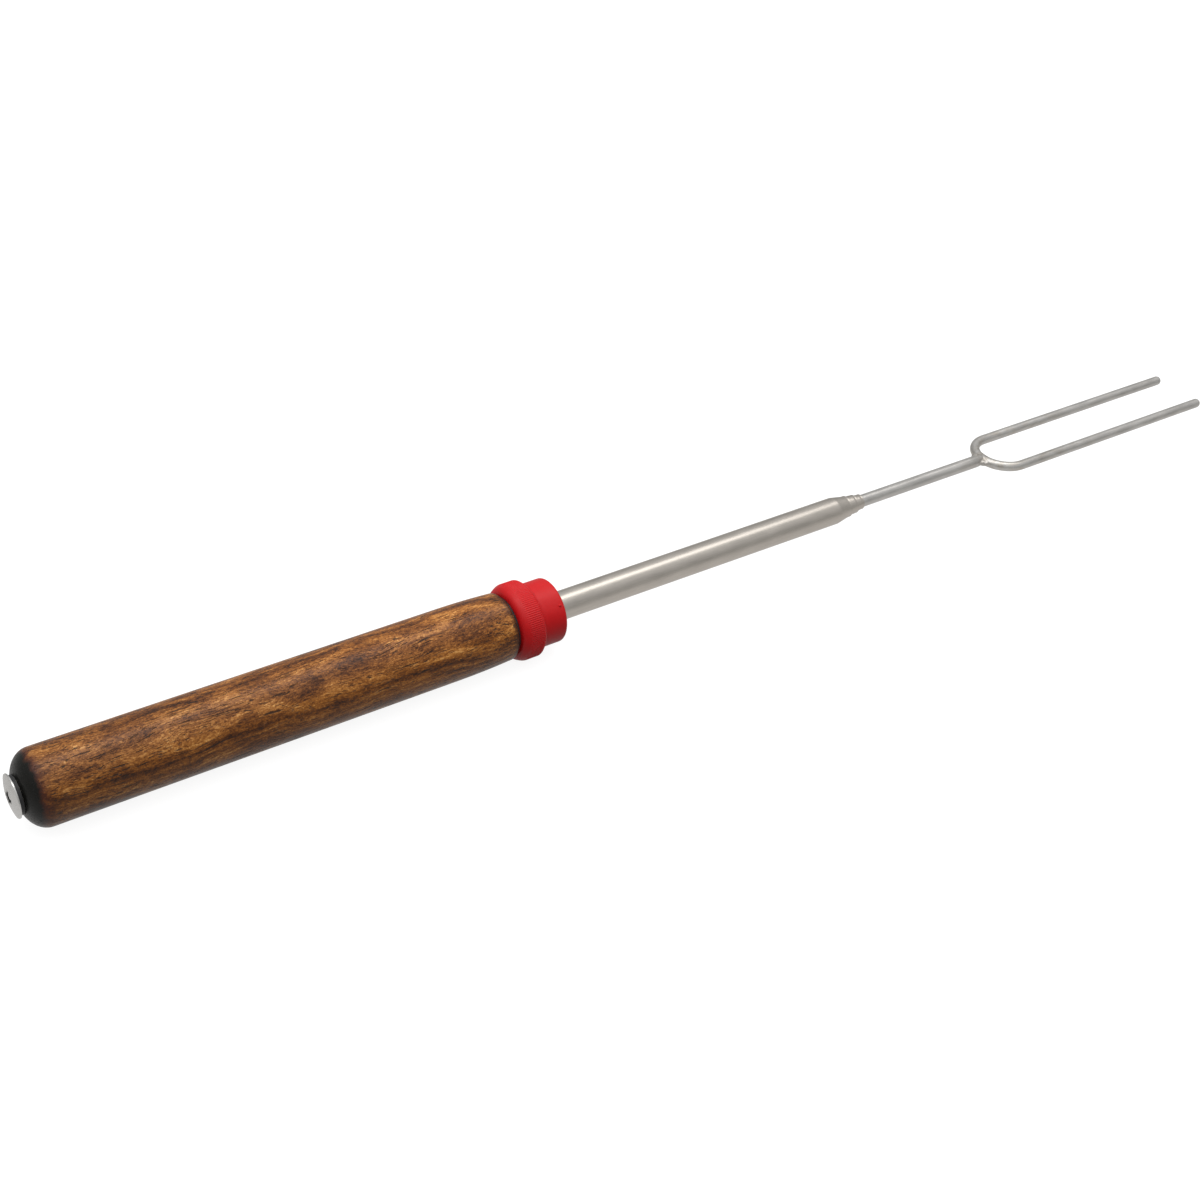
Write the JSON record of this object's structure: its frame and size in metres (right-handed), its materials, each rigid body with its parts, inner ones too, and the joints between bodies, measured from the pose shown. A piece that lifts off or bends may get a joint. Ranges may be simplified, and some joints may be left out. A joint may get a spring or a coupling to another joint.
{
  "type": "telescoping roasting fork",
  "caption": "Telescoping campfire roasting fork: round wooden handle, ridged red thumb wheel that spins the fork, sliding steel tubes and a bent wire fork.",
  "frame": {"origin": "on the spin axis, half-way along the straight part of the wooden handle", "axes": "+X along the spin axis from the handle to the prongs, +Z square to the plane of the prongs (up when the fork lies flat), +Y completes the right-handed frame"},
  "size_m": [0.5143, 0.0274, 0.0274],
  "materials": {
    "stained_wood": "stained and satin varnished, butt end stained nearly black",
    "bearing_nylon": "moulded nylon",
    "black_washer": "black acetal",
    "plated_screw": "bright plated, lightly worn",
    "brass_plug": "turned",
    "tube_steel": "fine satin",
    "spring_steel": "blue-grey temper",
    "wheel_plastic": "moulded, satin gloss",
    "fork_steel": "drawn wire, satin",
    "weld_steel": "brushed weld, faint heat tint"
  },
  "bodies": {
    "handle": {"handle_grip": "stained_wood", "front_bearing": "bearing_nylon", "rear_bearing": "bearing_nylon"},
    "rotor": {"butt_washer": "black_washer", "axle_screw": "plated_screw", "tube_end_plug": "brass_plug", "outer_tube": "tube_steel", "thumb_wheel": "wheel_plastic", "front_thrust_washer": "black_washer"},
    "middle_section": {"middle_end_plug": "brass_plug", "middle_friction_spring": "spring_steel", "middle_tube": "tube_steel"},
    "inner_section": {"inner_end_plug": "brass_plug", "inner_friction_spring": "spring_steel", "inner_tube": "tube_steel"},
    "fork": {"stem_end_bush": "brass_plug", "stem_friction_spring": "spring_steel", "fork_stem": "fork_steel", "fork_prongs": "fork_steel", "weld_bead": "weld_steel"}
  },
  "joints": [
    {"name": "spin", "type": "hinge", "parent": "handle", "child": "rotor", "pos_m": [0, 0, 0], "axis": [1, 0, 0], "continuous": true},
    {"name": "middle_slide", "type": "slide", "parent": "rotor", "child": "middle_section", "axis": [1, 0, 0], "range_m": [0, 0.19]},
    {"name": "inner_slide", "type": "slide", "parent": "middle_section", "child": "inner_section", "axis": [1, 0, 0], "range_m": [0, 0.186]},
    {"name": "stem_slide", "type": "slide", "parent": "inner_section", "child": "fork", "axis": [1, 0, 0], "range_m": [0, 0.177]}
  ]
}
